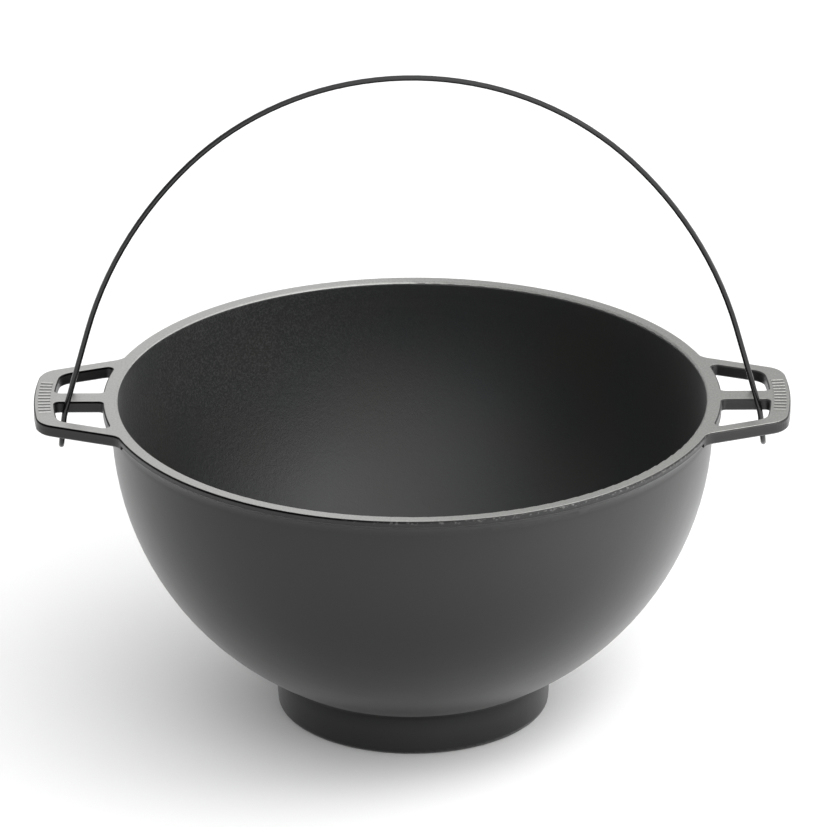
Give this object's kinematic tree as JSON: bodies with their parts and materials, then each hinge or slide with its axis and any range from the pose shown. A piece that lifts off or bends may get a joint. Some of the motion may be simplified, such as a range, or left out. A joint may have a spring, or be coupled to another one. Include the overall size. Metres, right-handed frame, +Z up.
{
  "type": "polenta pot",
  "caption": "Deep half-ball cast iron pot on a ring foot, with flat windowed side lugs and a swinging wire bail hooked round the spokes of the lugs.",
  "frame": {"origin": "centre of the foot ring, on the surface that the pot stands on", "axes": "+Z up through the middle of the bowl; the lugs lie along +X and -X; the bail's legs pass the lugs' spokes on the -Y side"},
  "size_m": [0.368, 0.3, 0.3326],
  "materials": {
    "cast_iron": "matt black, fine sand-cast grain",
    "bail_wire": "gloss black coated steel wire"
  },
  "bodies": {
    "pot": {"pot_body": "cast_iron"},
    "bail": {"bail_handle": "bail_wire"}
  },
  "joints": [
    {"name": "bail_swing", "type": "hinge", "parent": "pot", "child": "bail", "pos_m": [0, 0, 0.159], "axis": [1, 0, 0], "range_deg": [-90, 66]}
  ]
}
